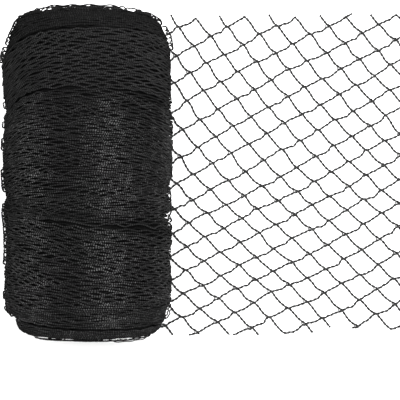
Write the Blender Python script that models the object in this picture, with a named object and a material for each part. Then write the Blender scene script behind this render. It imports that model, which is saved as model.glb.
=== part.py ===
"""A roll of black knitted bird netting that lies on its side, with its loose end spread flat beside it.

Millimetres are used throughout and turned to metres once, when a mesh is finished. The roll's axis runs
along Y, the loose end leaves from under the roll towards +X, and Z is up from the floor.
"""

import math

import bmesh
import bpy
from mathutils import Vector

MM = 0.001

# The roll: where its axis lies, how far its weight flattens it, and the height under which its soft
# underside sags right down to the floor.
ROLL_X = -115.2
SIDES = 48
SETTLE = 2.0
SAG_REACH = 1.6

# The roll's sections, from its near end to its far end. The widths are from the axis to either side.
# Columns: y, width to -X, width to +X.
ROLL_SECTIONS = (
    (-148.0, 47.0, 51.0),
    (-146.5, 53.0, 57.5),
    (-144.0, 58.5, 62.0),
    (-140.5, 62.4, 65.6),
    (-136.5, 64.4, 67.2),
    (-131.5, 65.2, 69.0),
    (-126.5, 68.0, 70.0),
    (-122.5, 72.6, 71.0),
    (-117.0, 74.0, 74.2),
    (-108.0, 74.4, 75.0),
    (-97.0, 75.0, 74.6),
    (-80.0, 74.2, 74.0),
    (-72.0, 73.4, 74.0),
    (-60.0, 73.2, 75.2),
    (-50.5, 73.6, 75.6),
    (-46.5, 73.8, 75.4),
    (-42.5, 74.2, 73.8),
    (-39.0, 74.8, 71.8),
    (-34.0, 74.8, 74.2),
    (-28.0, 74.2, 73.4),
    (-20.0, 73.4, 73.0),
    (-13.0, 75.4, 71.6),
    (-8.0, 75.4, 73.6),
    (-2.0, 76.0, 75.6),
    (20.0, 76.0, 75.8),
    (40.0, 75.2, 76.4),
    (50.0, 74.8, 75.6),
    (56.0, 73.2, 74.8),
    (62.0, 74.2, 74.8),
    (75.0, 75.6, 74.8),
    (79.0, 75.8, 74.8),
    (83.0, 75.8, 74.8),
    (101.0, 76.4, 74.6),
    (112.0, 73.6, 73.8),
    (118.0, 71.6, 73.0),
    (124.5, 70.4, 71.4),
    (127.5, 68.4, 69.0),
    (134.0, 66.4, 66.4),
    (139.0, 61.5, 61.5),
    (142.0, 54.0, 54.0),
)

# Creases where one fold of the wrapped net ends on the next.
# Columns: y, depth, half-width along Y, middle angle and half-angle around the roll in degrees.
# An angle of 0 faces +X and 90 faces up.
CREASES = (
    (79.0, 1.9, 4.5, 135.0, 34.0),
    (-46.5, 2.3, 4.5, 52.0, 52.0),
    (-20.0, 1.0, 8.0, 180.0, 40.0),
    (56.0, 0.8, 6.0, 20.0, 60.0),
    (-80.0, 1.2, 7.0, 118.0, 24.0),
)

# The slight lumps of soft net wound by hand. Columns: height, waves around the roll, radians per
# millimetre along Y, phase.
LUMPS = (
    (0.35, 3, 0.05, 0.0),
    (0.25, 5, -0.09, 1.3),
)

# The wound layers that show on each end: one ridge that spirals out from a small eye.
EYE_RADIUS = 4.5
EYE_DEPTH = 5.0
EYE_CENTRE = (-0.5, 0.1)
LAYER_PITCH = 8.0
LAYER_ROWS = 8
RIDGE_HALF_HEIGHT = 2.0
END_BULGE = 2.0

# The loose end: a diamond net of thin strands, cut plainly at both ends.
STRAND = 1.3
NET_THICKNESS = 1.2
NET_START_X = ROLL_X + 22.0
NET_END_X = 192.0
NET_HALF_WIDTH = 153.0

# The stubs of cut strands, as shares of a bar: the shortest that is kept, and those on the long edges.
SHORTEST_TAIL = 0.12
CUT_TAIL = 0.55

# Where knot (u, v) lies: the sum over these rows of (x, y) * u**pu * v**pv. Knots are counted from one
# in the middle of the net, u along the steep strands and v along the shallow ones.
# Columns: pu, pv, x, y.
NET_LAY = (
    (0, 0, 61.6, 0.1),
    (1, 0, 15.2, -14.8),
    (0, 1, 17.15, 9.05),
    (2, 0, 0.10, 0.13),
    (1, 1, 0.024, -0.044),
    (3, 0, -0.006, -0.0076),
    (2, 1, -0.013, 0.021),
    (1, 2, -0.016, 0.033),
    (0, 3, -0.004, 0.008),
)

# Spots where the spread net is tugged out of line. Columns: u, v, x, y, reach in meshes.
TUGS = (
    (-0.5, -1.0, -0.4, -2.8, 1.5),
    (5.0, -5.0, 0.0, 3.6, 1.2),
    (7.5, -3.5, -1.0, -3.8, 1.0),
    (4.5, 2.0, 1.3, 3.2, 1.0),
    (-7.6, 2.4, 0.4, -2.2, 1.3),
    (1.0, 6.0, -3.2, -3.8, 0.7),
    (-6.0, -1.0, 3.2, 2.0, 0.7),
    (1.0, -2.0, -3.0, 0.4, 0.6),
    (0.3, -5.3, -2.2, 0.4, 1.5),
    (-1.0, -3.3, -1.2, -1.8, 1.2),
    (0.5, 1.3, -0.4, -1.9, 1.3),
    (-5.5, 0.0, 0.2, 1.6, 1.5),
    (-4.0, 3.8, -0.8, 1.5, 1.3),
    (5.2, -8.8, 0.2, -1.7, 1.0),
    (7.0, -5.0, 0.2, 2.3, 0.6),
)

# Small unevenness of the knots and of the shallow bars: size, and radians per mesh along u and v.
WOBBLE_X = (0.7, 2.4, 5.1)
WOBBLE_Y = (0.7, 3.7, -1.9)
CRINKLE = (1.1, 4.3, 2.2)

# The shallow bars are the slack ones, and they bend towards the near end by this much on average.
SLACK_BEND = 1.5

# The net is cut along two lines that climb one steep strand for every two shallow ones. On shallow
# strand v its knots run from (v - FAR_EDGE) / 2 to (v + NEAR_EDGE) / 2.
FAR_EDGE = 17
NEAR_EDGE = 20
SHALLOW_STRANDS = range(-24, 16)

# A corner of the near edge that is cut away, and the bars that are cut shorter or longer than the rest.
# Columns of the second: u and v of the knot, the step to the next knot, and the share of the bar left.
CUT_CORNER = (8, -4)
ODD_TAILS = (
    (7, -4, 1, 0, 0.55),
    (8, -3, 0, -1, 0.2),
    (8, -3, 1, 0, 0.15),
    (5, -9, 1, 0, 0.2),
    (-5, 8, 0, 1, 0.35),
)


def clear_scene():
    for obj in list(bpy.data.objects):
        bpy.data.objects.remove(obj)


def netting_material(name, colour, roughness):
    """Black knitted polyethylene."""
    material = bpy.data.materials.new(name)
    material.use_nodes = True
    shader = material.node_tree.nodes["Principled BSDF"]
    shader.inputs["Base Color"].default_value = (*colour, 1.0)
    shader.inputs["Roughness"].default_value = roughness
    shader.inputs["Metallic"].default_value = 0.0
    return material


def finish_piece(name, bm, material, smooth_angle):
    """Turns a bmesh in millimetres into a named object in metres."""
    bmesh.ops.recalc_face_normals(bm, faces=bm.faces)
    bmesh.ops.scale(bm, vec=Vector((MM, MM, MM)), verts=bm.verts)
    mesh = bpy.data.meshes.new(name)
    bm.to_mesh(mesh)
    bm.free()
    mesh.materials.append(material)
    mesh.shade_smooth()
    mesh.set_sharp_from_angle(angle=math.radians(smooth_angle))
    obj = bpy.data.objects.new(name, mesh)
    bpy.context.scene.collection.objects.link(obj)
    return obj


def largest_radius():
    return max((left + right) / 2 for _, left, right in ROLL_SECTIONS)


AXIS_Z = largest_radius() - SETTLE


def crease_depth(y, angle):
    """How far the creases draw the wrap in at one place on the roll."""
    depth = 0.0
    for crease_y, deepest, half_width, middle, half_angle in CREASES:
        across = abs(y - crease_y) / half_width
        turn = (math.degrees(angle) - middle + 180) % 360 - 180
        along = abs(turn) / half_angle
        if across < 1 and along < 1:
            depth += deepest * (1 - across) * (1 - along**2)
    return depth


def lump_height(y, angle):
    return sum(
        height * math.sin(waves * angle + per_mm * y + phase) for height, waves, per_mm, phase in LUMPS
    )


def column_angle(column):
    """The angle of one column of the roll's mesh. Column 0 lies at the underside, just towards +X."""
    return -math.pi / 2 + 2 * math.pi * (column + 0.5) / SIDES


def settled(z):
    """The soft underside lies flat on the floor."""
    return 0.0 if z < SAG_REACH else z


def roll_ring(bm, y, left, right):
    """One section of the roll."""
    centre_x = ROLL_X + (right - left) / 2
    ring = []
    for column in range(SIDES):
        angle = column_angle(column)
        radius = (left + right) / 2 - crease_depth(y, angle) + lump_height(y, angle)
        z = settled(AXIS_Z + radius * math.sin(angle))
        ring.append(bm.verts.new((centre_x + radius * math.cos(angle), y, z)))
    return ring


def join_rings(bm, first, second):
    for column in range(SIDES):
        after = (column + 1) % SIDES
        bm.faces.new((first[column], first[after], second[after], second[column]))


def end_height(radius, rim_radius, row):
    """How far the end stands out at one radius: a soft bulge and, on every second row, the wound ridge."""
    bulge = END_BULGE * (1 - (radius / rim_radius) ** 2)
    ridge = RIDGE_HALF_HEIGHT if row % 2 else -RIDGE_HALF_HEIGHT
    return bulge + ridge


def wound_end(bm, rim, y, left, right, outwards):
    """Closes one end of the roll with a ridge that spirals from the eye to the rim.

    Row n of a column meets row n + 2 of the first column after one turn, so the ridge is one spiral.
    """
    centre_x = ROLL_X + (right - left) / 2
    rim_radius = (left + right) / 2

    def layer_vert(column, row):
        radius = EYE_RADIUS + LAYER_PITCH * (row / 2 + column / SIDES)
        angle = column_angle(column)
        stands = outwards * end_height(radius, rim_radius, row)
        return bm.verts.new(
            (centre_x + radius * math.cos(angle), y + stands, AXIS_Z + radius * math.sin(angle))
        )

    columns = [[layer_vert(0, row) for row in range(LAYER_ROWS + 3)]]
    for column in range(1, SIDES):
        columns.append([layer_vert(column, row) for row in range(LAYER_ROWS + 1)])
    for column in range(SIDES - 1):
        here, there = columns[column], columns[column + 1]
        for row in range(LAYER_ROWS):
            bm.faces.new((here[row], here[row + 1], there[row + 1], there[row]))
    last, first = columns[-1], columns[0]
    for row in range(LAYER_ROWS):
        bm.faces.new((last[row], last[row + 1], first[row + 3], first[row + 2]))

    # The outermost turn is joined to the rim, past the step where the turn begins.
    step = [first[LAYER_ROWS + 2], first[LAYER_ROWS + 1]]
    bm.faces.new((rim[0], *step, first[LAYER_ROWS], columns[1][LAYER_ROWS], rim[1]))
    for column in range(1, SIDES - 1):
        outer, after = columns[column][LAYER_ROWS], columns[column + 1][LAYER_ROWS]
        bm.faces.new((rim[column], outer, after, rim[column + 1]))
    bm.faces.new((rim[-1], last[LAYER_ROWS], first[LAYER_ROWS + 2], rim[0]))

    # The eye is a shallow fan on a point beside the step of the innermost turn, placed in eye radii.
    eye_x, eye_z = (EYE_RADIUS * share for share in EYE_CENTRE)
    middle = bm.verts.new((centre_x + eye_x, y - outwards * EYE_DEPTH, AXIS_Z + eye_z))
    edge = [column[0] for column in columns] + [first[2], first[1]]
    for here, there in zip(edge, edge[1:] + edge[:1]):
        bm.faces.new((middle, here, there))


def build_roll(material):
    bm = bmesh.new()
    rings = [roll_ring(bm, *section) for section in ROLL_SECTIONS]
    for first, second in zip(rings, rings[1:]):
        join_rings(bm, first, second)
    wound_end(bm, rings[0], *ROLL_SECTIONS[0], -1)
    wound_end(bm, rings[-1], *ROLL_SECTIONS[-1], 1)
    bmesh.ops.triangulate(bm, faces=bm.faces)
    return finish_piece("net_roll", bm, material, 50)


def wave(u, v, size, per_u, per_v):
    return size * math.sin(per_u * u + per_v * v)


def knot_place(u, v):
    """Where a knot of the loose end lies on the floor, worked out from the lay, the tugs and a wobble."""
    x = sum(fx * u**pu * v**pv for pu, pv, fx, _ in NET_LAY)
    y = sum(fy * u**pu * v**pv for pu, pv, _, fy in NET_LAY)
    for tug_u, tug_v, tug_x, tug_y, reach in TUGS:
        share = math.exp(-((u - tug_u) ** 2 + (v - tug_v) ** 2) / reach**2)
        x += tug_x * share
        y += tug_y * share
    return Vector((x + wave(u, v, *WOBBLE_X), y + wave(u, v, *WOBBLE_Y)))


def knots_across(v):
    """The knots that the two long edges leave on one shallow strand."""
    return range((v - FAR_EDGE) // 2, (v + NEAR_EDGE) // 2 + 1)


def is_knot(u, v):
    place = knot_place(u, v)
    in_outline = NET_START_X < place.x < NET_END_X and abs(place.y) < NET_HALF_WIDTH
    return in_outline and u in knots_across(v) and (u, v) != CUT_CORNER


def strand_directions(u, v):
    """Unit vectors along the steep and the shallow strand at a knot."""
    steep = knot_place(u + 1, v) - knot_place(u - 1, v)
    shallow = knot_place(u, v + 1) - knot_place(u, v - 1)
    return steep.normalized(), shallow.normalized()


def knot_corners(bm, u, v):
    """The four corners of a knot, keyed by their side along the steep and the shallow strand."""
    place = knot_place(u, v)
    steep, shallow = strand_directions(u, v)
    corners = {}
    for side_u in (-1, 1):
        for side_v in (-1, 1):
            corner = place + STRAND / 2 * (side_u * steep + side_v * shallow)
            corners[side_u, side_v] = bm.verts.new((corner.x, corner.y, 0.0))
    bm.faces.new([corners[side] for side in ((-1, -1), (1, -1), (1, 1), (-1, 1))])
    return corners


def steep_bar(bm, here, there):
    bm.faces.new((here[1, -1], here[1, 1], there[-1, 1], there[-1, -1]))


def shallow_bar(bm, here, there, bend):
    """A shallow bar in two stretches, crinkled to one side."""
    left = (here[-1, 1].co + there[-1, -1].co) / 2
    right = (here[1, 1].co + there[1, -1].co) / 2
    across = (left - right).normalized() * bend
    middle_left = bm.verts.new(left + across)
    middle_right = bm.verts.new(right + across)
    bm.faces.new((here[1, 1], here[-1, 1], middle_left, middle_right))
    bm.faces.new((middle_right, middle_left, there[-1, -1], there[1, -1]))


def cut_bar(bm, first, second, target, share):
    """A cut strand that points from a knot's side at the next knot's place and stops on the way."""
    middle = (first.co + second.co) / 2
    reach = (Vector((target.x, target.y, 0.0)) - middle) * share
    end_first = bm.verts.new(first.co + reach)
    end_second = bm.verts.new(second.co + reach)
    for end in (end_first, end_second):
        end.co.x = min(max(end.co.x, NET_START_X), NET_END_X)
        end.co.y = min(max(end.co.y, -NET_HALF_WIDTH), NET_HALF_WIDTH)
    bm.faces.new((first, second, end_second, end_first))


def share_in_outline(place, target):
    """How much of the way from one knot to the next lies on the net."""
    x_limit = NET_END_X if target.x > place.x else NET_START_X
    y_limit = NET_HALF_WIDTH if target.y > place.y else -NET_HALF_WIDTH
    x_share = (x_limit - place.x) / (target.x - place.x)
    y_share = (y_limit - place.y) / (target.y - place.y)
    return min(x_share, y_share, 1.0)


def tail_share(u, v, du, dv):
    """How much is left of the bar that leaves a knot towards a missing one."""
    share = share_in_outline(knot_place(u, v), knot_place(u + du, v + dv))
    for *bar, odd_share in ODD_TAILS:
        if bar == [u, v, du, dv]:
            return min(share, odd_share)
    if u + du in knots_across(v + dv):
        return share
    return min(share, CUT_TAIL) if du and v % 2 else 0.0


def build_loose_net(material):
    bm = bmesh.new()
    knots = {}
    for v in SHALLOW_STRANDS:
        for u in knots_across(v):
            if is_knot(u, v):
                knots[u, v] = knot_corners(bm, u, v)
    for (u, v), here in knots.items():
        for du, dv in ((1, 0), (0, 1), (-1, 0), (0, -1)):
            after = (u + du, v + dv)
            if after in knots:
                if du == 1:
                    steep_bar(bm, here, knots[after])
                if dv == 1:
                    shallow_bar(bm, here, knots[after], wave(u, v, *CRINKLE) - SLACK_BEND)
                continue
            share = tail_share(u, v, du, dv)
            if share > SHORTEST_TAIL:
                if du:
                    first, second = here[du, -1], here[du, 1]
                else:
                    first, second = here[-1, dv], here[1, dv]
                cut_bar(bm, first, second, knot_place(*after), share)
    top = bmesh.ops.extrude_face_region(bm, geom=bm.faces[:])["geom"]
    raised = [item for item in top if isinstance(item, bmesh.types.BMVert)]
    bmesh.ops.translate(bm, vec=Vector((0.0, 0.0, NET_THICKNESS)), verts=raised)
    return finish_piece("loose_net", bm, material, 30)


def build_netting():
    clear_scene()
    wrapped = netting_material("wound_netting", (0.016, 0.016, 0.017), 0.62)
    spread = netting_material("knitted_strand", (0.012, 0.012, 0.013), 0.5)
    build_roll(wrapped)
    build_loose_net(spread)


build_netting()
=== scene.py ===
# %% [markdown]
# # A roll of black bird netting
# This lesson dresses a wound roll of knitted netting and its loose end. The frame gives their size and
# place, and everything here is laid over it. The roll is a soft drum of many layers, whose outermost
# strands are modelled one by one. The loose end is an open net of twisted strands, spread on the floor.

# %% Load the frame
import math

import bmesh
import bpy
import numpy as np
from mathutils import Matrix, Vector
from mathutils.bvhtree import BVHTree


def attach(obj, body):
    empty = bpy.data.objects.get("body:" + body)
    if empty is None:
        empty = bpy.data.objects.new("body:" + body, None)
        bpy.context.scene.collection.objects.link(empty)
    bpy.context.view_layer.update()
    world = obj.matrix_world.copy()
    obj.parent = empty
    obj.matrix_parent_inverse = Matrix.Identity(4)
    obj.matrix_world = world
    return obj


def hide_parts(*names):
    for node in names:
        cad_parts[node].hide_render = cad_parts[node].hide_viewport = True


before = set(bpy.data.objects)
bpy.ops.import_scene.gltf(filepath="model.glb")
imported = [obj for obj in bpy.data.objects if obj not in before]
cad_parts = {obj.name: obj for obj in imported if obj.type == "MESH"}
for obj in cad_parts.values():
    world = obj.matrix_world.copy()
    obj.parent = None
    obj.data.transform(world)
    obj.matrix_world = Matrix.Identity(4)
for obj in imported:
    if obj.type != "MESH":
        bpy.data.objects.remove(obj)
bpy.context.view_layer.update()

MM = 0.001

# %% [markdown]
# ## A map of the wound surface
# Every strand on the roll has to follow the drum, round its shoulders and in over its ends. So the frame's
# roll is measured once, with rays towards its axis for the side and rays along the axis for the ends, on a
# grid of rows (distance over the surface from one end's middle to the other's) and columns (angles).
# Later cells only say where on this map a strand runs and how high it stands. All sizes are in millimetres
# until a mesh is made, an angle of 0 faces +X, and 90 degrees faces up.

# %% Measure the side with rays
ROLL_X, AXIS_Z = -115.2, 74.0
COLUMNS = 120
FAR_OUT = 200.0
# The side reaches from rim to rim, in rows about a millimetre apart.
SIDE_NEAR, SIDE_FAR, SIDE_ROWS = -147.5, 141.5, 289
roll_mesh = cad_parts["net_roll"].data
roll_tree = BVHTree.FromPolygons(
    [v.co / MM for v in roll_mesh.vertices], [p.vertices[:] for p in roll_mesh.polygons]
)
angles = np.arange(COLUMNS) * 2 * math.pi / COLUMNS


def side_radius(y, angle):
    outward = Vector((math.cos(angle), 0.0, math.sin(angle)))
    start = Vector((ROLL_X, y, AXIS_Z)) + outward * FAR_OUT
    return FAR_OUT - roll_tree.ray_cast(start, -outward)[3]


side_y = np.linspace(SIDE_NEAR, SIDE_FAR, SIDE_ROWS)
side_r = np.array([[side_radius(y, angle) for angle in angles] for y in side_y])
print("side radius from", side_r.min().round(1), "to", side_r.max().round(1), "mm")

# %% Measure the ends with rays
# The map leaves out the eye of each end, this far round the axis.
EYE = 3.0


def end_y(radius, angle, outwards):
    x, z = ROLL_X + radius * math.cos(angle), AXIS_Z + radius * math.sin(angle)
    start = Vector((x, FAR_OUT * outwards, z))
    return roll_tree.ray_cast(start, Vector((0.0, -outwards, 0.0)))[0].y


def end_rows(rim, outwards):
    """Rows about a millimetre apart, from just inside the rim to the eye."""
    steps = int(rim.min() - EYE)
    radius = np.array([rim + (EYE - rim) * (step + 1) / steps for step in range(steps)])
    y = [[end_y(r, angle, outwards) for r, angle in zip(row, angles)] for row in radius]
    return np.array(y), radius


near_y, near_r = end_rows(side_r[0], -1)
far_y, far_r = end_rows(side_r[-1], 1)
map_y = np.concatenate([near_y[::-1], np.repeat(side_y[:, None], COLUMNS, 1), far_y])
map_r = np.concatenate([near_r[::-1], side_r, far_r])
print("map:", map_y.shape, "rows and columns")

# %% [markdown]
# The frame's facets are softened a little, and each row gets its distance over the surface from y = 0.

# %% Smooth the map and give it normals
SMOOTHING_PASSES = 3


def smoothed(grid):
    for _ in range(SMOOTHING_PASSES):
        grid = (np.roll(grid, 1, 1) + 2 * grid + np.roll(grid, -1, 1)) / 4
        inner = (grid[:-2] + 2 * grid[1:-1] + grid[2:]) / 4
        grid = np.concatenate([grid[:1], inner, grid[-1:]])
    return grid


map_y, map_r = smoothed(map_y), smoothed(map_r)
surface = np.stack([ROLL_X + map_r * np.cos(angles), map_y, AXIS_Z + map_r * np.sin(angles)], axis=2)
along = np.gradient(surface, axis=0)
around = (np.roll(surface, -1, 1) - np.roll(surface, 1, 1)) / 2
# Along, then around, is the order whose cross product points out of the drum.
normal = np.cross(along, around)
normal /= np.linalg.norm(normal, axis=2, keepdims=True)
row_steps = np.linalg.norm(np.diff(surface, axis=0), axis=2).mean(axis=1)
row_at = np.concatenate([[0.0], np.cumsum(row_steps)])
side_at = slice(len(near_y), len(near_y) + len(side_y))
row_at -= np.interp(0.0, side_y, row_at[side_at])
NEAR_EYE, FAR_EYE = row_at[0], row_at[-1]
NEAR_RIM, FAR_RIM = row_at[side_at][0], row_at[side_at][-1]
print("the surface runs from", NEAR_EYE.round(1), "to", FAR_EYE.round(1), "mm, from eye to eye")
print("its rims are at", NEAR_RIM.round(1), "and", FAR_RIM.round(1))

# %% Look a place up on the map
WOUND_HEIGHT = 1.4
LOWEST = WOUND_HEIGHT / 2


def look_up(grid, rows, cols):
    row, col = np.floor(rows).astype(int), np.floor(cols).astype(int)
    row = np.clip(row, 0, len(grid) - 2)
    a, b = (rows - row)[:, None], (cols - col)[:, None]
    col, after = col % COLUMNS, (col + 1) % COLUMNS
    first = grid[row, col] * (1 - b) + grid[row, after] * b
    second = grid[row + 1, col] * (1 - b) + grid[row + 1, after] * b
    return first * (1 - a) + second * a


def rest_on_floor(points):
    """A strand's middle never gets nearer to the floor than a wound strand's half height."""
    low = points[:, 2] < 2 * LOWEST
    points[low, 2] = LOWEST * (1 + np.exp(points[low, 2] / LOWEST - 2))
    return points


def on_roll(distance, angle, height):
    """Points at a distance over the roll's surface, at an angle round it and at a height off it."""
    rows = np.interp(distance, row_at, np.arange(len(row_at)))
    cols = np.mod(angle, 2 * math.pi) / (2 * math.pi) * COLUMNS
    ups = look_up(normal, rows, cols)
    ups /= np.linalg.norm(ups, axis=1, keepdims=True)
    points = look_up(surface, rows, cols) + ups * np.reshape(height, (-1, 1))
    return rest_on_floor(points), ups


def distance_of(y):
    """The distance over the surface at which the roll's side passes a given y."""
    return float(np.interp(y, side_y, row_at[side_at]))


print("a wound strand is", WOUND_HEIGHT, "mm high, and y = 100 is at", round(distance_of(100.0), 1), "mm")

# %% [markdown]
# ## Colours and nodes
# Colours are written as sRGB hex values and turned to linear by one function. One more function adds a
# shader node with its settings and links, which keeps each material to a few lines.

# %% Helpers for materials
def linear(hex_colour):
    parts = [int(hex_colour[i : i + 2], 16) / 255 for i in (1, 3, 5)]
    return [c / 12.92 if c <= 0.04045 else ((c + 0.055) / 1.055) ** 2.4 for c in parts] + [1.0]


def add_node(tree, kind, settings=None, links=None):
    node = tree.nodes.new(kind)
    for name, value in (settings or {}).items():
        if isinstance(name, int) or name in node.inputs:
            node.inputs[name].default_value = value
        else:
            setattr(node, name, value)
    for name, socket in (links or {}).items():
        tree.links.new(socket, node.inputs[name])
    return node


def new_material(name):
    material = bpy.data.materials.new(name)
    material.use_nodes = True
    material.node_tree.nodes.clear()
    return material, material.node_tree


print("black yarn in linear light:", [round(c, 4) for c in linear("#202020")])

# %% Sums and fades of patterns
def weighted_sum(tree, parts):
    """The sum of some values, each with its weight."""
    total = None
    for socket, weight in parts:
        links = {0: socket} if total is None else {0: socket, 2: total}
        total = add_node(tree, "ShaderNodeMath", {"operation": "MULTIPLY_ADD", 1: weight, 2: 0.0}, links)
        total = total.outputs["Value"]
    return total


def faded(tree, along, middle, start, end):
    """0 up to start millimetres away from the middle, and 1 from end millimetres on."""
    away = add_node(tree, "ShaderNodeMath", {"operation": "SUBTRACT", 1: middle * MM}, {0: along})
    away = add_node(tree, "ShaderNodeMath", {"operation": "ABSOLUTE"}, {0: away.outputs["Value"]})
    return add_node(
        tree,
        "ShaderNodeMapRange",
        {"From Min": start * MM, "From Max": end * MM},
        {"Value": away.outputs["Value"]},
    ).outputs["Result"]


print("patterns are added up by weight, and faded by place")

# %% [markdown]
# ## Knitted black polyethylene
# Bird netting is knitted from black high-density polyethylene yarn. The plastic is nearly black, so what
# the eye sees is the light on its stitches. Real stitches are too fine to show from above. They are drawn
# 2.1 mm long, as coarse as they need to be to show, and follow an attribute that every strand carries: its
# own length in millimetres. On the roll the knitting scatters the plastic's gloss, so the wound yarn gets
# next to none, and its glints are painted highlights: pale specks in its colour. The loose yarn keeps a
# faint gloss.

# %% Stitches, specks, patches and streaks
# A wave texture repeats every pi / 10 units at scale 1.
WAVE_REPEAT = math.pi / 10
STITCH_MM, SPECK_MM, PATCH_MM = 2.1, 1.2, 9.0
# A sheen is painted on the knitting in bright streaks along the roll, this far apart across it.
SHEEN_STREAK_MM, SHEEN_STREAK_AT = 70.0, -93.0


def yarn_patterns(tree, place):
    """The stitches, fine specks, broad patches and painted sheen streaks, each as a value from 0 to 1."""
    length = add_node(tree, "ShaderNodeAttribute", {"attribute_name": "strand_mm"})
    stitch = add_node(
        tree,
        "ShaderNodeTexWave",
        {"Scale": WAVE_REPEAT / STITCH_MM, "Distortion": 6.0, "Detail": 2.0, "Detail Scale": 0.25},
        {"Vector": length.outputs["Vector"]},
    )
    speck, patch = [
        add_node(
            tree,
            "ShaderNodeTexNoise",
            {"Scale": 1 / (size * MM), "Detail": 1.0, "Roughness": 0.5},
            {"Vector": place},
        )
        for size in (SPECK_MM, PATCH_MM)
    ]
    streak = add_node(
        tree,
        "ShaderNodeTexWave",
        {
            "Scale": WAVE_REPEAT / (SHEEN_STREAK_MM * MM),
            "Phase Offset": math.pi - 2 * math.pi * SHEEN_STREAK_AT / SHEEN_STREAK_MM,
            "Distortion": 1.0,
            "Detail": 0.0,
            "Detail Scale": 0.02,
        },
        {"Vector": place},
    )
    return [node.outputs["Fac"] for node in (stitch, speck, patch, streak)]


print("a stitch is drawn", STITCH_MM, "mm long, and the streaks are", SHEEN_STREAK_MM, "mm apart")

# %% The light and shade painted on the yarn
# How much the stitches and the patches count. The specks' weight is given with each finish.
STITCH_SHARE, PATCH_SHARE = 0.45, 0.3
# The painted sheen streaks fade towards both ends, over a stretch measured from the middle of the bright
# part.
SHEEN_STREAK_SHARE = 0.17
BRIGHT_MIDDLE, BRIGHT_HALF, BRIGHT_END, END_SHADE = -44.5, 84.5, 116.5, 0.12
# The light comes from above and falls off down the roll's sides, so light is painted there: the yarn is
# made paler down both sides, where its stitches have to show.
SIDE_MIDDLE, SIDE_START, SIDE_END, SIDE_PAINTED_LIGHT = -128.0, 42.0, 84.0, 0.12
# The net dips towards the long crease, which leans across the roll, and shade is painted on the yarn along
# it.
CREASE_MIDDLE, CREASE_START, CREASE_END, CREASE_SHADE = -59.5, 2.5, 9.0, 0.12
CREASE_SLOPE = 0.165


def painted_light(tree, place, relief, patch, streak, streaks, wound):
    """How much light is painted on the yarn: its relief and patches, its painted sheen streaks, the light
    painted down the roll's sides and the shade painted along the crease.
    """
    parts = add_node(tree, "ShaderNodeSeparateXYZ", links={"Vector": place})
    end_fade = faded(tree, parts.outputs["Y"], BRIGHT_MIDDLE, BRIGHT_HALF, BRIGHT_END)
    side_fade = faded(tree, parts.outputs["X"], SIDE_MIDDLE, SIDE_START, SIDE_END)
    leaning = weighted_sum(tree, ((parts.outputs["X"], CREASE_SLOPE), (parts.outputs["Y"], 1.0)))
    off_crease = faded(tree, leaning, CREASE_MIDDLE, CREASE_START, CREASE_END)
    return weighted_sum(
        tree,
        (
            (relief, 1.0),
            (patch, PATCH_SHARE),
            (streak, SHEEN_STREAK_SHARE * streaks),
            (end_fade, -END_SHADE * streaks),
            (side_fade, SIDE_PAINTED_LIGHT * wound),
            (off_crease, CREASE_SHADE * streaks),
        ),
    )


print("the streaks fade out", BRIGHT_END - BRIGHT_HALF, "mm past the bright part")

# %% The yarn's material
# Where the colour ramp starts and ends above the usual relief, and how much higher it is in the painted
# sheen streaks.
RAMP_START, RAMP_END = 0.05, 0.65
SHEEN_STREAKS_START, SHEEN_STREAKS_END = 0.05, 0.12
BUMP_MM = 0.3


def knitted_polyethylene(name, dark, middle, light, shine, streaks, specks, wound=1.0):
    """Yarn with pale specks painted on its stitches as glints, the more so in the roll's painted sheen
    streaks.

    Its three colours run from shade to full light, and wound is 0 for yarn that isn't on the roll.
    """
    material, tree = new_material(name)
    place = add_node(tree, "ShaderNodeTexCoord").outputs["Object"]
    stitch, speck, patch, streak = yarn_patterns(tree, place)
    relief = weighted_sum(tree, ((speck, specks), (stitch, STITCH_SHARE)))
    usual = (specks + STITCH_SHARE) / 2
    ramp_at = add_node(
        tree,
        "ShaderNodeMapRange",
        {
            "From Min": RAMP_START + usual + (SHEEN_STREAKS_START + CREASE_SHADE) * streaks,
            "From Max": RAMP_END + usual + (SHEEN_STREAKS_END + CREASE_SHADE) * streaks,
        },
        {"Value": painted_light(tree, place, relief, patch, streak, streaks, wound)},
    )
    colour = add_node(tree, "ShaderNodeValToRGB", links={"Fac": ramp_at.outputs["Result"]})
    colour.color_ramp.elements[0].color = linear(dark)
    colour.color_ramp.elements[1].color = linear(light)
    colour.color_ramp.elements.new(0.5).color = linear(middle)
    bump = add_node(tree, "ShaderNodeBump", {"Strength": 0.8, "Distance": BUMP_MM * MM}, {"Height": relief})
    shader = add_node(
        tree,
        "ShaderNodeBsdfPrincipled",
        {"Roughness": 0.5, "IOR": 1.5, "Metallic": 0.0, "Specular IOR Level": shine},
        {"Base Color": colour.outputs["Color"], "Normal": bump.outputs["Normal"]},
    )
    add_node(tree, "ShaderNodeOutputMaterial", links={"Surface": shader.outputs["BSDF"]})
    return material


print("the yarn's relief is", BUMP_MM, "mm deep")

# %% Six finishes of one yarn, four of them painted lighter or darker for light and shade
# Behind the outer strands the yarn is in deep shade, which is painted in: its colour is all but black.
yarn_inner = knitted_polyethylene(
    "polyethylene_inner_wraps", "#050505", "#080808", "#0f0f0f", shine=0.02, streaks=0.0, specks=0.95
)
# The near end and its shoulder face away from the lamp, so light is painted on them: single stitches stand
# out in grey.
yarn_rim = knitted_polyethylene(
    "polyethylene_near_end", "#101010", "#212121", "#484848", shine=0.0, streaks=0.0, specks=0.95
)
# On the far end and its shoulder the same stitches are painted darker, as shade.
yarn_shade = knitted_polyethylene(
    "polyethylene_shaded_wraps", "#0b0b0b", "#161616", "#282828", shine=0.0, streaks=0.0, specks=0.95
)
# The far wrap, the stray strand and the slack strands are an even charcoal, with faint specks.
yarn_matt = knitted_polyethylene(
    "polyethylene_matt_wraps", "#101010", "#202020", "#393939", shine=0.0, streaks=0.0, specks=0.5
)
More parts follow.
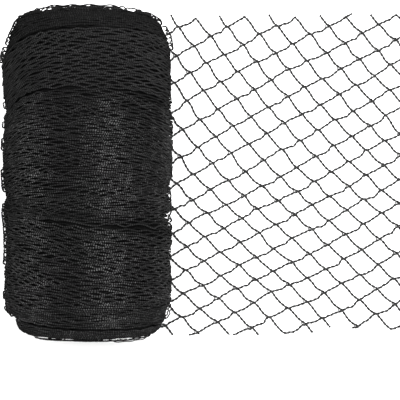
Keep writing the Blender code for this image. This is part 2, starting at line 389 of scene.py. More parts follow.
# The middle and the near wrap have a sheen painted on them: bright streaks full of pale specks.
yarn_painted_sheen = knitted_polyethylene(
    "polyethylene_painted_sheen_wraps", "#0e0e0e", "#202020", "#606060", shine=0.0, streaks=1.0, specks=0.7
)
# The loose end is dark yarn with grey stitches and a faint gloss.
yarn_loose = knitted_polyethylene(
    "polyethylene_loose_end",
    "#0a0a0a",
    "#202020",
    "#505050",
    shine=0.2,
    streaks=0.0,
    specks=0.95,
    wound=0.0,
)
print(len([m for m in bpy.data.materials if m.name.startswith("polyethylene")]), "finishes of one yarn")

# %% [markdown]
# ## One strand
# A strand is a thin tube that follows a line. A grid is made as a flat ribbon and rolled up into the tube:
# its long side runs along the strand and its short side goes once round it, and the two edges are merged.
# That gives even faces, and each point can carry its length along the strand for the stitches.

# %% Roll a ribbon into a strand
TINY = 1e-9
UP = [0.0, 0.0, 1.0]


def unit(vectors):
    return vectors / np.maximum(np.linalg.norm(vectors, axis=1, keepdims=True), TINY)


def add_strand(bm, centres, ups, width, height, sides):
    """A tube along centres, in millimetres, as wide across ups as width and as high as height."""
    lengths = bm.verts.layers.float.get("strand_mm") or bm.verts.layers.float.new("strand_mm")
    count = len(centres)
    made = bmesh.ops.create_grid(bm, x_segments=count - 1, y_segments=sides, size=0.5)["verts"]
    tangent = unit(np.gradient(centres, axis=0))
    across = unit(np.cross(tangent, ups))
    above = np.cross(across, tangent)
    run = np.concatenate([[0.0], np.cumsum(np.linalg.norm(np.diff(centres, axis=0), axis=1))])
    # Half a side's turn gives the tube a flat top, and its corners reach out to the full width.
    turn = 2 * math.pi * (np.arange(sides + 1) + 0.5) / sides
    reach = 0.5 / math.cos(math.pi / sides)
    half_width = np.reshape(np.broadcast_to(width, (count,)) * reach, (1, count, 1))
    half_height = np.reshape(np.broadcast_to(height, (count,)) * reach, (1, count, 1))
    ring_x, ring_z = np.cos(turn)[:, None, None], np.sin(turn)[:, None, None]
    points = centres[None] + across[None] * ring_x * half_width + above[None] * ring_z * half_height
    for index, (vert, point) in enumerate(zip(made, points.reshape(-1, 3) * MM)):
        vert.co = point
        vert[lengths] = run[index % count]


print("a strand carries its length in the attribute strand_mm")

# %% Close the strands and make a piece of them
WELD = 1e-7


def close_strands(bm):
    """Merges each ribbon's two edges and closes the ends of the tubes."""
    bmesh.ops.remove_doubles(bm, verts=bm.verts, dist=WELD)
    open_edges = [edge for edge in bm.edges if edge.is_boundary]
    bmesh.ops.holes_fill(bm, edges=open_edges, sides=0)
    bmesh.ops.recalc_face_normals(bm, faces=bm.faces)


def new_piece(name, bm, material):
    mesh = bpy.data.meshes.new(name)
    bm.to_mesh(mesh)
    bm.free()
    mesh.materials.append(material)
    mesh.shade_smooth()
    piece = bpy.data.objects.new(name, mesh)
    bpy.context.scene.collection.objects.link(piece)
    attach(piece, "root")
    mesh.calc_loop_triangles()
    print(name, len(mesh.loop_triangles), "triangles")
    return piece


test = bmesh.new()
test_line = np.stack([np.linspace(0, 10, 11), np.zeros(11), np.full(11, 5.0)], axis=1)
add_strand(test, test_line, np.tile(UP, (11, 1)), 2.0, 1.0, 4)
close_strands(test)
print("a test strand has", len(test.verts), "points and", len(test.faces), "faces")
test.free()

# %% [markdown]
# ## How wound netting lies
# Pulled tight round a roll, the diamonds of the net close to slits. Two neighbouring strands touch, part
# and touch again, and the next pair is half a slit further on. One long strand does all of it when it is
# wound like thread on a reel with a whole number of waves and a half in each turn: every turn then meets
# its neighbour out of step. Ripples, each made of a few sines, keep it from looking machined.

# %% Ripples
RIPPLE_SINES = 5
# Each sine has this many waves, between these limits, in the length that a ripple reaches.
SINE_SPREAD = (0.5, 1.5)
rng = np.random.default_rng(7)


def ripple(distance, angle, size, reach_mm, turns):
    """A smooth unevenness of about -size to size over the roll, which closes after one turn."""
    total = 0.0
    for _ in range(RIPPLE_SINES):
        per_mm = rng.uniform(*SINE_SPREAD) * 2 * math.pi / reach_mm
        waves = rng.integers(-turns, turns + 1)
        total = total + np.sin(per_mm * distance + waves * angle + rng.uniform(0, 2 * math.pi))
    return size * (total / math.sqrt(RIPPLE_SINES))


print("a ripple is made of", RIPPLE_SINES, "sines")

# %% The lean of the rows
# How far the rows of slits trail behind at the roll's sides, from its near end to its far end. A row
# leaves the top in a straight slope and curves away further down.
# Columns: distance over the surface, straight and curved part at the -X side, the same at the +X side.
LEAN = np.array(
    (
        (-165.0, 0.0, 0.0, 0.0, 0.0),
        (-140.0, -4.0, -4.0, 0.0, -3.0),
        (-110.0, -7.0, 0.0, 4.0, 0.0),
        (-75.0, -8.0, 0.0, 6.0, 0.0),
        (-50.0, -10.0, 0.0, 4.0, 0.0),
        (-40.0, -3.0, 0.0, 0.0, -4.0),
        (-20.0, 6.0, 2.0, -2.0, 0.0),
        (0.0, 0.0, 8.0, 2.0, 6.0),
        (25.0, -6.0, 16.0, 4.0, 12.0),
        (45.0, -8.0, 18.0, 4.0, 12.0),
        (60.0, -8.0, 20.0, 3.0, 8.0),
        (72.0, 0.0, 24.0, 2.0, 7.0),
        (82.0, 6.0, 24.0, 0.0, 7.0),
        (115.0, 7.0, 24.0, 0.0, 8.0),
        (135.0, 4.0, 16.0, 0.0, 6.0),
        (158.0, 0.0, 0.0, 0.0, 0.0),
    )
)
# Creases where a fold ends and the rows part. Columns: distance, gap, middle angle, half-angle (degrees).
PARTED = (
    (72.3, 1.6, 130.0, 42.0),
    (-46.6, 0.3, 80.0, 110.0),
    (-78.0, 1.2, 112.0, 16.0),
    (-20.0, 0.8, 150.0, 30.0),
    (distance_of(126.2), 0.8, 108.0, 38.0),
)
# The rows beside a crease are pushed off it. The push grows over the first length and fades over the next.
PARTED_GROWTH, PARTED_REACH = 1.5, 9


def lean_at(distance, column):
    return np.interp(distance, LEAN[:, 0], LEAN[:, column])


def leaned(distance, angle):
    """Where a row that starts level at the top of the roll has got to at an angle."""
    side = np.cos(angle)
    straight = np.where(side < 0, lean_at(distance, 1), lean_at(distance, 3))
    curved = np.where(side < 0, lean_at(distance, 2), lean_at(distance, 4))
    moved = distance - np.abs(side) * straight - side**4 * curved
    for at, gap, middle, half in PARTED:
        turn = (np.degrees(angle) - middle + 180) % 360 - 180
        share = np.clip(1 - (turn / half) ** 2, 0, 1)
        away = distance - at
        moved = moved + gap * share * np.tanh(away / PARTED_GROWTH) * np.exp(-np.abs(away) / PARTED_REACH)
    return moved


print("the rows lean by up to", (LEAN[:, 1] + LEAN[:, 2]).max(), "mm, and part at", len(PARTED), "creases")

# %% [markdown]
# A wound strand swings from side to side along its row, and each kind of unevenness has a slow and a quick
# part. The slits open less at the roll's sides, and least where the net is pulled in at its near shoulder.

# %% Wind one strand on the roll
# Columns: size, reach over the surface, most waves in a turn. Openness and looping are shares, drift is in
# radians of a wave, and bunching and rise are in millimetres.
OPEN_SLOW, OPEN_QUICK = (0.35, 20.0, 6), (0.45, 9.0, 16)
DRIFT_SLOW, DRIFT_QUICK = (2.2, 45.0, 4), (0.9, 9.0, 8)
BUNCHING = (0.4, 14.0, 10)
RISE_SLOW, RISE_QUICK = (0.3, 9.0, 12), (0.2, 2.5, 30)
LOOPING, LOOP_PHASE = (1.0, 5.0, 9), 1.0
CLOSED_AT_SIDES = 0.35
PULLED_AT = (distance_of(-139.0), distance_of(-136.0), distance_of(-116.0))
PULLED_OPENNESS = (1.0, 0.5, 1.0)
WOUND_SIDES = 4
BOTTOM = -math.pi / 2


def wound_line(start, end, pitch, slits, steps, swing, lift, loops):
    """The line of one strand wound from start to end: its centres and its up directions."""
    turns = round(abs(end - start) / pitch)
    turn = np.linspace(0, turns, turns * steps + 1)
    angle = 2 * math.pi * turn + BOTTOM
    distance = start + (end - start) * turn / turns
    openness = 1 + ripple(distance, angle, *OPEN_SLOW) + ripple(distance, angle, *OPEN_QUICK)
    openness *= 1 - CLOSED_AT_SIDES * np.cos(angle) ** 2
    openness *= np.interp(distance, PULLED_AT, PULLED_OPENNESS)
    drift = ripple(distance, angle, *DRIFT_SLOW) + ripple(distance, angle, *DRIFT_QUICK)
    bunch = ripple(distance, angle, *BUNCHING)
    phase = angle * slits + drift
    # A little of the third harmonic straightens the sine's flanks.
    wave = np.sin(phase) - np.sin(3 * phase) / 9
    placed = leaned(distance + bunch, angle) + swing * openness * wave
    rise = ripple(distance, angle, *RISE_SLOW) + ripple(distance, angle, *RISE_QUICK)
    looped = loops * (0.5 + 0.5 * np.sin(phase + LOOP_PHASE)) * np.abs(ripple(distance, angle, *LOOPING))
    return on_roll(placed, angle, lift + rise + looped)


def wind(name, start, end, pitch, slits, steps, width, swing, lift, material, loops=0.0):
    bm = bmesh.new()
    centres, ups = wound_line(start, end, pitch, slits, steps, swing, lift, loops)
    add_strand(bm, centres, ups, width, WOUND_HEIGHT, WOUND_SIDES)
    close_strands(bm)
    return new_piece(name, bm, material)


print("the slits are narrowest at", round(PULLED_AT[1], 1), "mm")

# %% [markdown]
# ## The heart of the roll
# Behind the outer strands lie dozens of layers that nobody can count. They are one dark body: a copy of
# the frame's own roll, merged, drawn in by more than a strand's height and shaded smooth. It keeps the
# creases and the wound ends, and its yarn is painted all but black, as the deep shade that shows between
# the strands.

# %% Make the heart
HEART_INSET = 2.4
# The near end is airier than the rest, so the heart draws in further there.
END_INSET = 3.4
FRAME_WELD = 1e-6


def make_heart():
    bm = bmesh.new()
    bm.from_mesh(roll_mesh)
    bmesh.ops.remove_doubles(bm, verts=bm.verts, dist=FRAME_WELD)
    bmesh.ops.recalc_face_normals(bm, faces=bm.faces)
    bm.normal_update()
    lengths = bm.verts.layers.float.new("strand_mm")
    for vert in bm.verts:
        vert[lengths] = vert.co.y / MM
        inset = HEART_INSET + END_INSET * max(0.0, -vert.normal.y) ** 2
        vert.co -= vert.normal * inset * MM
        vert.co.z = max(vert.co.z, 0.0)
    return new_piece("roll_heart", bm, yarn_inner)


heart = make_heart()
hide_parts("net_roll")

# %% [markdown]
# ## The wraps
# The net was wound in a few widths, whose edges end in the creases that show. An inner wrap runs the whole
# length, a little below the others, and fills the slits with half-seen strands in painted shade. Narrow
# wraps cover the two shoulders, and three broad ones lie between them, of which the near and the middle one
# have a sheen painted on them in bright streaks. One stray strand runs over them all in wide turns.

# %% Wind the wraps
# Columns: name, yarn, from y, to y, pitch, slits and steps in a turn, strand width, swing, lift.
WRAPS = (
    ("wrap_inner", yarn_inner, -146.5, 141.0, 3.4, 27.5, 220, 1.9, 0.8, -1.5),
    ("wrap_shoulder_near", yarn_rim, -147.0, -139.3, 2.0, 27.5, 264, 1.4, 0.6, -0.5),
    ("wrap_shoulder_far", yarn_shade, 127.0, 141.3, 2.2, 33.5, 264, 1.8, 0.35, -0.6),
    ("wrap_far", yarn_matt, 72.4, 125.5, 2.3, 26.5, 288, 1.4, 0.72, 0.35),
    ("wrap_stray", yarn_matt, -136.0, 124.0, 11.0, 14.5, 160, 1.1, 2.2, 0.95),
    ("wrap_near", yarn_painted_sheen, -137.3, -47.8, 2.12, 24.5, 276, 1.35, 0.66, 0.3),
    ("wrap_middle", yarn_painted_sheen, -45.5, 71.6, 1.8, 23.5, 264, 1.15, 0.58, 0.3),
)
for name, yarn, near, far, *sizes in WRAPS:
    wind(name, distance_of(near), distance_of(far), *sizes, yarn)

# %% [markdown]
# ## The wound ends
# On each end the layers show on edge, as a spiral of the loops along the net's edges. A close strand
# covers the face, and a looser one stands out of it in loops.

# %% Wind both ends
EYE_GAP = 3.0
# Columns: pitch, slits and steps in a turn, strand width, swing, lift.
END_LAYERS = (2.2, 15.5, 150, 1.7, 0.35, -0.3)
END_LOOPS = (3.9, 10.5, 110, 1.3, 1.1, 0.2)
LAYERS_STAND = 0.8
# Columns: name, where it starts and ends, how far it is sunk, how far its loops stand up, yarn.
WOUND_ENDS = (
    ("end_near", NEAR_RIM + 2.0, NEAR_EYE + EYE_GAP, 2.8, 1.8, yarn_rim),
    ("end_far", FAR_RIM - 3.0, FAR_EYE - EYE_GAP, 0.0, 2.6, yarn_shade),
)
for name, rim, eye, sunk, stand, yarn in WOUND_ENDS:
    for part, (*sizes, lift), loops in (("layers", END_LAYERS, LAYERS_STAND), ("loops", END_LOOPS, stand)):
        wind(f"{name}_{part}", rim, eye, *sizes, lift - sunk, yarn, loops)

# %% [markdown]
# ## Strands that stand off
# Here and there the net doesn't lie tight, and a slack strand stands off the roll in small arches. They
# roughen its outline, and light shows through them. A tangle of finer ones covers the near end's rim.

# %% Where the slack strands run
# Columns: distance and angle where the strand starts, the same where it ends, arches, how high they stand.
SLACK_STRANDS = (
    (distance_of(122.0), 173.0, distance_of(134.0), 165.0, 5, 1.4),
    (distance_of(133.0), 166.0, FAR_RIM - 2.0, 150.0, 5, 1.6),
    (FAR_RIM - 4.0, 156.0, FAR_RIM + 3.0, 138.0, 5, 2.2),
    (distance_of(113.0), 175.0, distance_of(99.0), 173.0, 4, 3.2),
    (distance_of(110.0), 172.0, distance_of(101.0), 174.0, 2, 1.8),
    (distance_of(122.0), 174.0, distance_of(115.0), 173.0, 3, 2.2),
    (FAR_RIM + 3.0, 138.0, FAR_RIM + 8.0, 80.0, 1, 5.4),
    (FAR_RIM + 8.0, 112.0, FAR_RIM + 5.0, 46.0, 1, 5.6),
    (FAR_RIM + 5.0, 134.0, FAR_RIM + 7.0, 58.0, 1, 2.2),
    (distance_of(64.0), 173.0, distance_of(58.0), 174.0, 1, 2.6),
    (distance_of(46.0), 175.0, distance_of(40.0), 173.0, 1, 2.4),
    (distance_of(31.0), 173.0, distance_of(20.0), 175.0, 3, 2.4),
    (distance_of(3.0), 174.0, distance_of(-17.0), 172.0, 6, 2.4),
    (distance_of(-28.0), 173.0, distance_of(-60.0), 174.0, 9, 2.4),
    (distance_of(-55.0), 174.0, distance_of(-83.0), 173.0, 8, 2.7),
    (distance_of(-107.0), 174.0, distance_of(-114.0), 173.0, 2, 2.0),
    (distance_of(-120.0), 173.0, distance_of(-129.0), 172.0, 3, 2.4),
    (distance_of(132.0), 4.0, distance_of(111.0), -1.0, 6, 4.0),
    (distance_of(-12.0), -1.0, distance_of(-45.0), 1.0, 9, 2.5),
    (distance_of(-118.0), 0.0, distance_of(-132.0), 2.0, 1, 4.4),
    (distance_of(-119.5), -2.0, distance_of(-130.0), 0.0, 1, 2.4),
    (FAR_RIM + 1.0, 147.0, FAR_RIM + 6.0, 120.0, 1, 3.6),
    (FAR_RIM + 4.0, 132.0, FAR_RIM + 8.0, 103.0, 1, 5.0),
    (FAR_RIM + 6.0, 128.0, FAR_RIM + 8.0, 106.0, 1, 2.8),
    (FAR_RIM + 9.0, 107.0, FAR_RIM + 9.0, 82.0, 1, 5.0),
    (FAR_RIM + 9.0, 101.0, FAR_RIM + 9.0, 84.0, 1, 3.0),
    (FAR_RIM + 9.0, 90.0, FAR_RIM + 8.0, 62.0, 1, 5.0),
    (FAR_RIM + 9.0, 82.0, FAR_RIM + 8.0, 66.0, 1, 3.2),
    (FAR_RIM + 8.0, 68.0, FAR_RIM + 4.0, 43.0, 1, 4.8),
    (FAR_RIM + 7.0, 62.0, FAR_RIM + 5.0, 47.0, 1, 3.0),
    (FAR_RIM + 4.0, 49.0, FAR_RIM - 1.0, 28.0, 1, 3.6),
    (FAR_RIM + 1.0, 38.0, FAR_RIM - 3.0, 22.0, 2, 2.4),
    (FAR_RIM - 1.0, 28.0, distance_of(133.0), 8.0, 2, 3.2),
    (FAR_RIM + 5.0, 126.0, FAR_RIM + 9.0, 86.0, 3, 4.0),
    (FAR_RIM + 9.0, 95.0, FAR_RIM + 5.0, 52.0, 3, 4.0),
)
# The finer tangle on the near end's rim, with the same columns.
RIM_STRANDS = (
    (NEAR_RIM - 1.0, 160.0, NEAR_RIM - 5.0, 112.0, 5, 0.6),
    (NEAR_RIM - 3.0, 126.0, NEAR_RIM - 6.0, 70.0, 4, 0.8),
    (NEAR_RIM - 6.0, 92.0, NEAR_RIM - 3.0, 44.0, 3, 1.0),
    (NEAR_RIM - 2.0, 150.0, NEAR_RIM - 5.0, 96.0, 9, 0.9),
    (NEAR_RIM - 5.0, 104.0, NEAR_RIM - 2.0, 40.0, 11, 1.2),
    (NEAR_RIM - 3.0, 162.0, NEAR_RIM - 6.0, 118.0, 1, 0.2),
    (NEAR_RIM - 14.0, 140.0, NEAR_RIM - 13.0, 84.0, 7, 0.3),
    (NEAR_RIM - 13.0, 100.0, NEAR_RIM - 14.0, 48.0, 6, 0.3),
    (NEAR_RIM - 4.0, 62.0, NEAR_RIM + 3.0, 18.0, 1, 2.6),
    (NEAR_RIM - 3.0, 56.0, NEAR_RIM + 5.0, 14.0, 2, 1.4),
    (NEAR_RIM - 6.0, 50.0, NEAR_RIM + 4.0, 20.0, 1, 1.2),
)
print(len(SLACK_STRANDS), "slack strands and", len(RIM_STRANDS), "fine ones")

# %% Arches of slack strand
SLACK_MM, RIM_STRAND_MM = 1.05, 0.75
SLACK_SIDES = 5
STEPS_PER_ARCH, FEWEST_STEPS = 10, 24
SLACK_LIFT = 0.3
# Arches are rounder than a sine, are shifted along the strand and differ in height.
ARCH_POWER = 0.7
SHIFT, SHIFTS_PER_ARCH = 0.22, 0.6
ARCH_DIP, DIP_RATE = 0.2, 9
LOWER_ARCHES = 0.55
LINE_HEIGHT, LINE_WAVE = 0.85, 0.15
LAYERED_FROM = FAR_RIM - 6


def slack_heights(share, arches, start):
    """The heights along a strand in arches, along a line over their tops and along lower arches."""
    uneven = share + SHIFT / arches * np.sin(2 * math.pi * share * round(SHIFTS_PER_ARCH * arches))
    arch = np.abs(np.sin(math.pi * arches * uneven)) ** ARCH_POWER
    arch *= 1 - ARCH_DIP * np.sin(DIP_RATE * share + start) ** 2
    rise = np.sin(math.pi / 2 * np.minimum(1, 2 * arches * np.minimum(share, 1 - share)))
    lower = LOWER_ARCHES * np.abs(np.sin(math.pi * (arches + 1) * share)) ** ARCH_POWER
    return arch, rise * (LINE_HEIGHT + LINE_WAVE * arch), lower


def make_slack_strands(name, rows, thickness, material):
    """Several arches get a line over their tops, and on the far rim lower arches as well."""
    bm = bmesh.new()
    for start, start_angle, end, end_angle, arches, stand in rows:
        share = np.linspace(0, 1, max(arches * STEPS_PER_ARCH, FEWEST_STEPS) + 1)
        distance = start + (end - start) * share
        angle = np.radians(start_angle + (end_angle - start_angle) * share)
        strands = 1 if arches == 1 else 3 if start > LAYERED_FROM else 2
        for height in slack_heights(share, arches, start)[:strands]:
            centres, ups = on_roll(distance, angle, SLACK_LIFT + stand * height)
            add_strand(bm, centres, ups, thickness, thickness, SLACK_SIDES)
    close_strands(bm)
    return new_piece(name, bm, material)


make_slack_strands("slack_strands", SLACK_STRANDS, SLACK_MM, yarn_matt)
make_slack_strands("rim_strands", RIM_STRANDS, RIM_STRAND_MM, yarn_matt)

# %% [markdown]
# ## The loose end
# The same net, let go, lies open on the floor. Its knots lie on a leaning grid that the frame also uses:
# u counts along the steep strands and v along the shallow ones.

# %% The lay of the knots
# Where a knot lies, as a sum of these rows. But for the first row, which was given, a program fitted
# the values to the places of a real net's knots, and they were rounded.
# Columns: powers of u and v, and what their product moves a knot by along x and y.
NET_LAY = (
    (0, 0, 61.6, 0.1),
    (1, 0, 15.2, -14.8),
    (0, 1, 17.15, 9.05),
    (2, 0, 0.10, 0.13),
    (1, 1, 0.024, -0.044),
    (3, 0, -0.006, -0.0076),
    (2, 1, -0.013, 0.021),
    (1, 2, -0.016, 0.033),
    (0, 3, -0.004, 0.008),
)
# Spots where the spread net is tugged out of line. Columns: u, v, x, y, reach in meshes.
TUGS = (
    (-0.5, -1.0, -0.4, -2.8, 1.5),
    (5.0, -5.0, 0.0, 3.6, 1.2),
    (7.5, -3.5, -1.0, -3.8, 1.0),
    (4.5, 2.0, 1.3, 3.2, 1.0),
    (-7.6, 2.4, 0.4, -2.2, 1.3),
    (1.0, 6.0, -3.2, -3.8, 0.7),
    (-6.0, -1.0, 3.2, 2.0, 0.7),
    (1.0, -2.0, -3.0, 0.4, 0.6),
    (0.3, -5.3, -2.2, 0.4, 1.5),
    (-1.0, -3.3, -1.2, -1.8, 1.2),
    (0.5, 1.3, -0.4, -1.9, 1.3),
    (-5.5, 0.0, 0.2, 1.6, 1.5),
    (-4.0, 3.8, -0.8, 1.5, 1.3),
    (5.2, -8.8, 0.2, -1.7, 1.0),
    (7.0, -5.0, 0.2, 2.3, 0.6),
)
# Small unevenness: size, and radians per mesh along u and v.
WOBBLE_X = (0.7, 2.4, 5.1)
WOBBLE_Y = (0.7, 3.7, -1.9)


def wave(u, v, size, per_u, per_v):
    return size * math.sin(per_u * u + per_v * v)


def knot_place(u, v):
    x = sum(fx * u**pu * v**pv for pu, pv, fx, _ in NET_LAY)
    y = sum(fy * u**pu * v**pv for pu, pv, _, fy in NET_LAY)
    for tug_u, tug_v, tug_x, tug_y, reach in TUGS:
        share = math.exp(-((u - tug_u) ** 2 + (v - tug_v) ** 2) / reach**2)
        x += tug_x * share
        y += tug_y * share
    return np.array([x + wave(u, v, *WOBBLE_X), y + wave(u, v, *WOBBLE_Y)])


print("the knot in the middle lies at", knot_place(0, 0).round(1), "mm")

# %% The outline of the net
# Its far edge is cut close to the line 2 u - v = -FAR_EDGE, and its near edge close to 2 u - v = NEAR_EDGE.
FAR_EDGE, NEAR_EDGE = 17, 20
NET_START_X, NET_END_X, NET_HALF_WIDTH = ROLL_X + 22.0, 192.0, 153.0
SHALLOW_STRANDS = range(-24, 16)
# One knot is missing where a corner was cut off.
CUT_CORNER = (8, -4)


def knots_across(v):
    return range((v - FAR_EDGE) // 2, (v + NEAR_EDGE) // 2 + 1)


def is_knot(u, v):
    x, y = knot_place(u, v)
    in_outline = NET_START_X < x < NET_END_X and abs(y) < NET_HALF_WIDTH
    return in_outline and u in knots_across(v) and (u, v) != CUT_CORNER


knots = {(u, v): knot_place(u, v) for v in SHALLOW_STRANDS for u in knots_across(v) if is_knot(u, v)}
print(len(knots), "knots")

# %% [markdown]
# Where a strand was cut it leaves a stub. The stubs on the long edges are about half a mesh long, with a
# few exceptions, and at both ends of the spread net every strand is cut on one line.

# %% Stubs of cut strands
CUT_TAIL = 0.55
SHORTEST_TAIL = 0.12
# Columns: u and v of the knot, the step to the next knot, and the share of the way that is left.
ODD_TAILS = (
    (7, -4, 1, 0, 0.55),
    (8, -3, 0, -1, 0.2),
    (8, -3, 1, 0, 0.15),
    (5, -9, 1, 0, 0.2),
    (-5, 8, 0, 1, 0.35),
)


def share_in_outline(place, target):
    x_limit = NET_END_X if target[0] > place[0] else NET_START_X
    y_limit = NET_HALF_WIDTH if target[1] > place[1] else -NET_HALF_WIDTH
    x_share = (x_limit - place[0]) / (target[0] - place[0])
    y_share = (y_limit - place[1]) / (target[1] - place[1])
    return min(x_share, y_share, 1.0)


def tail_share(u, v, du, dv):
    share = share_in_outline(knot_place(u, v), knot_place(u + du, v + dv))
    for *bar, odd_share in ODD_TAILS:
        if bar == [u, v, du, dv]:
            return min(share, odd_share)
    if u + du in knots_across(v + dv):
        return share
    return min(share, CUT_TAIL) if du and v % 2 else 0.0


def tail_points(u, v, du, dv):
    """The end of the stub that leaves a knot towards a missing one, or nothing."""
    share = tail_share(u, v, du, dv)
    if share <= SHORTEST_TAIL:
        return []
    return [knots[u, v] + (knot_place(u + du, v + dv) - knots[u, v]) * share]


print("stubs on the long edges are up to", CUT_TAIL, "of a mesh")

# %% [markdown]
# ### The run of a strand
# At a knot the two strands run side by side for a moment. Some knots are pulled tight, and others keep a
# small eye between the strands. From knot to knot the steep strands bend in a shallow S, while the shallow
# ones are slack: they hang out of line towards the near end and are crinkled from their knitting.

# %% Tight and open knots
STEEP, SHALLOW = (1, 0), (0, 1)
OPEN_SHARE = 0.55
EYE_HALF, TIGHT_HALF = 1.3, 0.35
SHORTEST_JOIN, LONGEST_JOIN = 0.5, 1.8
LOOP_MARGIN = 1.0


def is_loop(knot):
    """The corners of the long edges where one strand turns back as the other."""
    u, v = knot
    before = u - 1 not in knots_across(v) and (u, v + 1) not in knots
    behind = u + 1 not in knots_across(v) and (u, v - 1) not in knots
    return v % 2 == 0 and (before or behind) and abs(knots[knot][1]) < NET_HALF_WIDTH - LOOP_MARGIN


def perpendicular(direction):
    return np.array([-direction[1], direction[0]])


def join_direction(u, v):
    """The way both strands run for a moment where they are knitted together."""
    steep = knot_place(u + 1, v) - knot_place(u - 1, v)
    shallow = knot_place(u, v + 1) - knot_place(u, v - 1)
    both = steep / np.linalg.norm(steep) + shallow / np.linalg.norm(shallow)
    return both / np.linalg.norm(both)


def knot_points(knot, step):
    """The two points where a strand enters and leaves a knot."""
    join = join_direction(*knot)
    half = EYE_HALF if knot in open_knots else TIGHT_HALF
    side = perpendicular(join) * (half if step == STEEP else -half)
    return [knots[knot] + side - join * join_lengths[knot], knots[knot] + side + join * join_lengths[knot]]


knot_rng = np.random.default_rng(11)
open_knots = {knot for knot in knots if knot_rng.random() < OPEN_SHARE and not is_loop(knot)}
join_lengths = {knot: knot_rng.uniform(SHORTEST_JOIN, LONGEST_JOIN) for knot in knots}
print(len(open_knots), "open knots")

# %% Lines of the loose strands
# How far the slack strands hang out of line, and how that changes from mesh to mesh.
SLACK_BEND = 1.9
CRINKLE = (1.1, 4.3, 2.2)
# Where on its way a strand bends, and between which limits: shares of the slack, or millimetres.
EARLY_AT, LATE_AT = 0.35, 0.66
SLACK_EARLY, SLACK_LATE = (0.3, 0.8), (0.9, 1.2)
STEEP_EARLY, STEEP_LATE = (-0.1, 1.4), (-1.1, 0.2)


def bar_points(knot, after, step):
    """Two points between a knot and the next, off the straight line by the strand's slack."""
    span = knots[after] - knots[knot]
    across = perpendicular(span) / np.linalg.norm(span)
    if step == SHALLOW:
        slack = wave(*knot, *CRINKLE) - SLACK_BEND
        early, late = slack * knot_rng.uniform(*SLACK_EARLY), slack * knot_rng.uniform(*SLACK_LATE)
    else:
        early, late = knot_rng.uniform(*STEEP_EARLY), knot_rng.uniform(*STEEP_LATE)
    return [knots[knot] + span * EARLY_AT + across * early, knots[knot] + span * LATE_AT + across * late]


def strand_run(first, step):
    """The first knot, the points and the last knot of one strand."""
    points = [] if is_loop(first) else tail_points(*first, -step[0], -step[1])
    knot = first
    while knot in knots:
        points += [knots[knot]] if is_loop(knot) else knot_points(knot, step)
        last, knot = knot, (knot[0] + step[0], knot[1] + step[1])
        if knot in knots:
            points += bar_points(last, knot, step)
    return first, points + tail_points(*last, *step), last


runs = {}
for step in (STEEP, SHALLOW):
    starts = [k for k in knots if (k[0] - step[0], k[1] - step[1]) not in knots]
    runs[step] = [strand_run(start, step) for start in starts]
print(len(runs[STEEP]), "steep and", len(runs[SHALLOW]), "shallow strands")

# %% [markdown]
# At a loop on a long edge the shallow strand turns and goes on as the steep one, or the other way round.
# Those runs are joined end to end, so that the loop is one strand with a round corner.

# %% Join the runs at the edge loops
def joined_runs(waiting):
    """Joins each run that ends in a loop to the run of the other kind that starts there."""
    done = []
    while waiting:
        first, points, last = waiting.pop(0)
        partner = next((run for run in waiting if run[0] == last and is_loop(last)), None)
        if partner is None:
            done.append((first, points, last))
            continue
        waiting.remove(partner)
        waiting.insert(0, (first, points + partner[1][1:], partner[2]))
    return done


all_runs = joined_runs(runs[STEEP] + runs[SHALLOW])
print(len(all_runs), "runs after joining")

# %% [markdown]
# ### Two plies
# Each strand is two plies twisted round each other, so that it looks dashed from a distance. A ring of
# yarn holds every open knot.

# %% An even, crinkled line
STEP_MM, FEWEST_POINTS = 1.0, 4
ROUNDING_PASSES = 7
# The yarn's own crinkle: its size, the lengths of its waves, and how much they vary.
CRINKLE_MM = 0.27
CRINKLE_WAVES_MM = (5.0, 8.0, 13.0)
CRINKLE_SPREAD = (0.85, 1.15)
CRINKLE_PHASES = (0, 6.28)


def smooth_line(route):
    """An even line through a route, with its corners rounded."""
    points = np.array(route)
    run = np.concatenate([[0.0], np.cumsum(np.linalg.norm(np.diff(points, axis=0), axis=1))])
    count = max(FEWEST_POINTS, int(run[-1] / STEP_MM))
    at = np.linspace(0, run[-1], count + 1)
    line = np.stack([np.interp(at, run, points[:, k]) for k in range(2)], axis=1)
    for _ in range(ROUNDING_PASSES):
        line[1:-1] = (line[:-2] + 2 * line[1:-1] + line[2:]) / 4
    return line, at


def crinkle(at, seed):
    """How far the yarn lies off its line, at each of its lengths."""
    random = np.random.default_rng(seed)
    total = np.zeros(len(at))
    for wave_mm in CRINKLE_WAVES_MM:
        length = wave_mm * random.uniform(*CRINKLE_SPREAD)
        total += np.sin(2 * math.pi * at / length + random.uniform(*CRINKLE_PHASES))
    return CRINKLE_MM * total / math.sqrt(len(CRINKLE_WAVES_MM))


print("the first strand is", smooth_line(all_runs[0][1])[1][-1].round(1), "mm long")

# %% Twist the loose strands
PLY_MM = 1.06
TWIST_MM = 8.5
PLY_SPREAD, PLY_RISE = 0.58, 0.36
PLY_SIDES = 4
FLOOR_MM = 0.02
# Steep strands run down the net and are drawn tight. The slack shallow ones run up it.
MIDDLE_SLACK, UPWARD_SLACK, LEAST_SLACK = 0.5, 2, 0.25
RING_MM, RING_THICK_MM, RING_STEPS = 1.5, 0.7, 10
RING_HEIGHT = 1.2
FIRST_SEED = 100


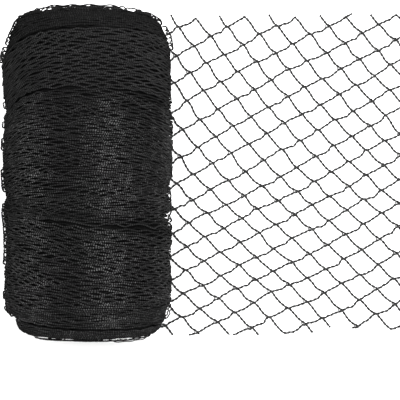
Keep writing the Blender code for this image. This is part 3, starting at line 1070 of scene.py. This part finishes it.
def add_loose_strand(bm, route, seed):
    line, at = smooth_line(route)
    tangent = unit(np.gradient(line, axis=0))
    sideways = np.stack([-tangent[:, 1], tangent[:, 0]], axis=1)
    slackness = np.clip(MIDDLE_SLACK + tangent[:, 1] * UPWARD_SLACK, LEAST_SLACK, 1)
    line = line + sideways * (crinkle(at, seed) * slackness)[:, None]
    height = np.full(len(line), PLY_MM / 2 + PLY_RISE + FLOOR_MM)
    flat = np.column_stack([line, height])
    up = np.tile(UP, (len(line), 1))
    side = np.column_stack([sideways, np.zeros(len(line))])
    turn = (2 * math.pi * at / TWIST_MM)[:, None]
    for phase in (0.0, math.pi):
        offset = side * np.cos(turn + phase) * PLY_SPREAD + up * np.sin(turn + phase) * PLY_RISE
        add_strand(bm, flat + offset, up, PLY_MM, PLY_MM, PLY_SIDES)


def add_ring(bm, knot):
    """A turn of yarn round a knot: a closed strand whose two ends meet."""
    turn = np.linspace(0, 2 * math.pi, RING_STEPS + 1)[:, None]
    join = join_direction(*knot)
    flat = knots[knot] + (np.cos(turn) * join + np.sin(turn) * perpendicular(join)) * RING_MM
    centres = np.column_stack([flat, np.full(len(flat), RING_HEIGHT * PLY_MM)])
    add_strand(bm, centres, np.tile(UP, (len(centres), 1)), RING_THICK_MM, RING_THICK_MM, PLY_SIDES)


def make_loose_net():
    bm = bmesh.new()
    for number, (_, route, _) in enumerate(all_runs):
        add_loose_strand(bm, route, FIRST_SEED + number)
    for knot in sorted(open_knots):
        add_ring(bm, knot)
    close_strands(bm)
    return new_piece("loose_net_strands", bm, yarn_loose)


loose = make_loose_net()
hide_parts("loose_net")

# %% [markdown]
# The net's yarn, as it lies, covers over a third of its outline, because the meshes are open.

# %% [markdown]
# ## Floor, light and camera
# A pale floor, a bright even surround and one large soft lamp, high up beyond the roll's far end. The
# camera looks straight down.

# %% Floor
FLOOR_SIZE = 6.0
# The lowest strands reach a tenth of a millimetre under zero, so the floor lies there.
FLOOR_Z = -0.0001
bpy.ops.mesh.primitive_plane_add(size=FLOOR_SIZE, location=(0.0, 0.0, FLOOR_Z))
floor = bpy.context.object
floor.name = "floor"
floor_material, tree = new_material("matt_white_paper")
paper = add_node(tree, "ShaderNodeBsdfPrincipled", {"Base Color": linear("#f8f8f8"), "Roughness": 0.9})
add_node(tree, "ShaderNodeOutputMaterial", links={"Surface": paper.outputs["BSDF"]})
floor.data.materials.append(floor_material)
print("the floor is", FLOOR_SIZE, "m wide")

# %% Surround and lamp
SURROUND_STRENGTH = 1.15
LAMP_PLACE, LAMP_AIM = (0.12, 0.45, 1.7), (-0.05, 0.0, 0.0)
LAMP_SIZE, LAMP_WATTS = 1.2, 75.0
world = bpy.data.worlds.new("bright_surround")
world.use_nodes = True
world.node_tree.nodes["Background"].inputs["Color"].default_value = linear("#ffffff")
world.node_tree.nodes["Background"].inputs["Strength"].default_value = SURROUND_STRENGTH
bpy.context.scene.world = world
bpy.context.scene.view_settings.view_transform = "Standard"
light = bpy.data.lights.new("overhead", "AREA")
light.size = LAMP_SIZE
light.energy = LAMP_WATTS
lamp = bpy.data.objects.new("overhead", light)
lamp.location = LAMP_PLACE
lamp.rotation_euler = (Vector(LAMP_AIM) - Vector(LAMP_PLACE)).to_track_quat("-Z", "Y").to_euler()
bpy.context.scene.collection.objects.link(lamp)
print("the lamp is", LAMP_SIZE, "m wide")

# %% Camera
CAMERA_HEIGHT = 1.6
CAMERA_X, CAMERA_Y = -0.0134, -0.0247
VIEW_WIDTH = 0.381
SENSOR_MM = 36.0
camera_data = bpy.data.cameras.new("camera")
camera_data.sensor_width = SENSOR_MM
camera_data.lens = SENSOR_MM * CAMERA_HEIGHT / VIEW_WIDTH
camera = bpy.data.objects.new("camera", camera_data)
camera.location = (CAMERA_X, CAMERA_Y, CAMERA_HEIGHT)
camera.rotation_euler = (0.0, 0.0, 0.0)
bpy.context.scene.collection.objects.link(camera)
bpy.context.scene.camera = camera
print("the camera is", CAMERA_HEIGHT, "m up and sees", VIEW_WIDTH, "m of the floor")
